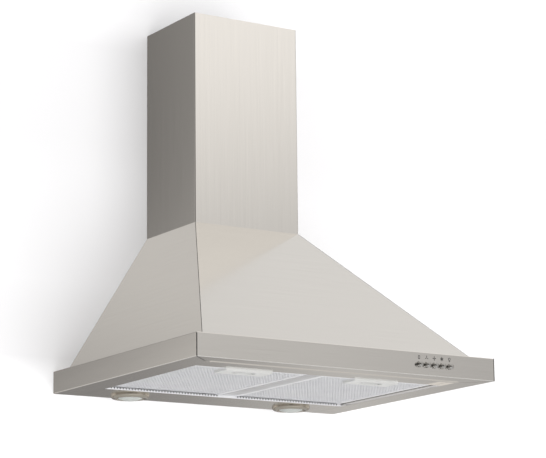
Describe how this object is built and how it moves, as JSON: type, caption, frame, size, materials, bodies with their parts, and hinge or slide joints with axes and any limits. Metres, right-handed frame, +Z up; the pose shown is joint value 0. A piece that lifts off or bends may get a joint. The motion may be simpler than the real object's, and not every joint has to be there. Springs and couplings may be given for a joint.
{
  "type": "range hood",
  "caption": "Wall-mounted pyramid chimney range hood in brushed steel, with drop-down mesh grease filters, recessed lamps, push buttons, a blower and a telescopic chimney.",
  "frame": {"origin": "midway between the two keyholes' entry circles, on the wall plane of the back panel", "axes": "+Z up, +Y into the wall, the control band faces -Y"},
  "size_m": [0.6, 0.509, 0.7006],
  "materials": {
    "steel": "brushed stainless steel sheet",
    "zinc": "galvanised sheet, matt",
    "aluminium": "bare aluminium, satin",
    "chrome": "bright chrome plate",
    "glass": "frosted lamp glass",
    "bulb": "clear capsule",
    "ceramic": "white ceramic",
    "white_plastic": "off-white moulded plastic",
    "black_plastic": "black moulded plastic",
    "grey_plastic": "grey moulded plastic",
    "motor_paint": "dark enamel",
    "bright_steel": "turned steel"
  },
  "bodies": {
    "hood": {"back_panel": "zinc", "blower_screws": "bright_steel", "cable_gland": "black_plastic", "capacitor": "aluminium", "centre_rail": "aluminium", "chimney_cover": "steel", "closing_panel": "steel", "corner_angles": "zinc", "damper_pin": "bright_steel", "front_panel": "steel", "inlet_guard": "bright_steel", "lamp_bezel_left": "chrome", "lamp_bezel_right": "chrome", "lamp_bulb_left": "bulb", "lamp_bulb_right": "bulb", "lamp_cup_left": "aluminium", "lamp_cup_right": "aluminium", "lamp_lens_left": "glass", "lamp_lens_right": "glass", "lamp_panel": "steel", "lamp_socket_left": "ceramic", "lamp_socket_right": "ceramic", "left_panel": "steel", "left_rail": "steel", "motor": "motor_paint", "motor_bearings": "bright_steel", "motor_spider": "zinc", "outlet_collar": "black_plastic", "rear_rail": "aluminium", "right_panel": "steel", "right_rail": "steel", "switch_block": "black_plastic", "terminal_box": "black_plastic", "terminal_box_lid": "black_plastic", "top_plate": "zinc", "transformer": "grey_plastic", "volute_left": "grey_plastic", "volute_right": "grey_plastic"},
    "upper_chimney": {"chimney_upper": "steel", "wall_bracket": "zinc"},
    "impeller": {"impeller": "grey_plastic", "impeller_shaft": "bright_steel"},
    "damper_front": {"damper_flap_front": "black_plastic"},
    "damper_rear": {"damper_flap_rear": "black_plastic"},
    "filter_left": {"filter_frame_left": "aluminium", "filter_mesh_left": "aluminium", "filter_handle_left": "white_plastic"},
    "filter_right": {"filter_frame_right": "aluminium", "filter_mesh_right": "aluminium", "filter_handle_right": "white_plastic"},
    "latch_left": {"filter_latch_left": "white_plastic"},
    "latch_right": {"filter_latch_right": "white_plastic"},
    "button_1": {"button_1": "chrome"},
    "button_2": {"button_2": "chrome"},
    "button_3": {"button_3": "chrome"},
    "button_4": {"button_4": "chrome"},
    "button_5": {"button_5": "chrome"}
  },
  "joints": [
    {"name": "chimney_raise", "type": "slide", "parent": "hood", "child": "upper_chimney", "axis": [0, 0, 1], "range_m": [0, 0.3]},
    {"name": "impeller_spin", "type": "hinge", "parent": "hood", "child": "impeller", "pos_m": [0, -0.1405, -0.035], "axis": [1, 0, 0], "continuous": true},
    {"name": "damper_rear_open", "type": "hinge", "parent": "hood", "child": "damper_rear", "pos_m": [0, -0.0875, 0.0868], "axis": [1, 0, 0], "range_deg": [0, 75]},
    {"name": "damper_front_open", "type": "hinge", "parent": "hood", "child": "damper_front", "pos_m": [0, -0.0875, 0.0868], "axis": [-1, 0, 0], "range_deg": [0, 75]},
    {"name": "filter_left_swing", "type": "hinge", "parent": "hood", "child": "filter_left", "pos_m": [-0.13, -0.101, -0.2207], "axis": [1, 0, 0], "range_deg": [0, 75]},
    {"name": "latch_left_pull", "type": "slide", "parent": "filter_left", "child": "latch_left", "axis": [0, 1, 0], "range_m": [0, 0.005], "stiffness_N_per_m": 400},
    {"name": "filter_right_swing", "type": "hinge", "parent": "hood", "child": "filter_right", "pos_m": [0.13, -0.101, -0.2207], "axis": [1, 0, 0], "range_deg": [0, 75]},
    {"name": "latch_right_pull", "type": "slide", "parent": "filter_right", "child": "latch_right", "axis": [0, 1, 0], "range_m": [0, 0.005], "stiffness_N_per_m": 400},
    {"name": "button_1_press", "type": "slide", "parent": "hood", "child": "button_1", "axis": [0, 1, 0], "range_m": [0, 0.004], "stiffness_N_per_m": 500},
    {"name": "button_2_press", "type": "slide", "parent": "hood", "child": "button_2", "axis": [0, 1, 0], "range_m": [0, 0.004], "stiffness_N_per_m": 500},
    {"name": "button_3_press", "type": "slide", "parent": "hood", "child": "button_3", "axis": [0, 1, 0], "range_m": [0, 0.004], "stiffness_N_per_m": 500},
    {"name": "button_4_press", "type": "slide", "parent": "hood", "child": "button_4", "axis": [0, 1, 0], "range_m": [0, 0.004], "stiffness_N_per_m": 500},
    {"name": "button_5_press", "type": "slide", "parent": "hood", "child": "button_5", "axis": [0, 1, 0], "range_m": [0, 0.004], "stiffness_N_per_m": 500}
  ]
}
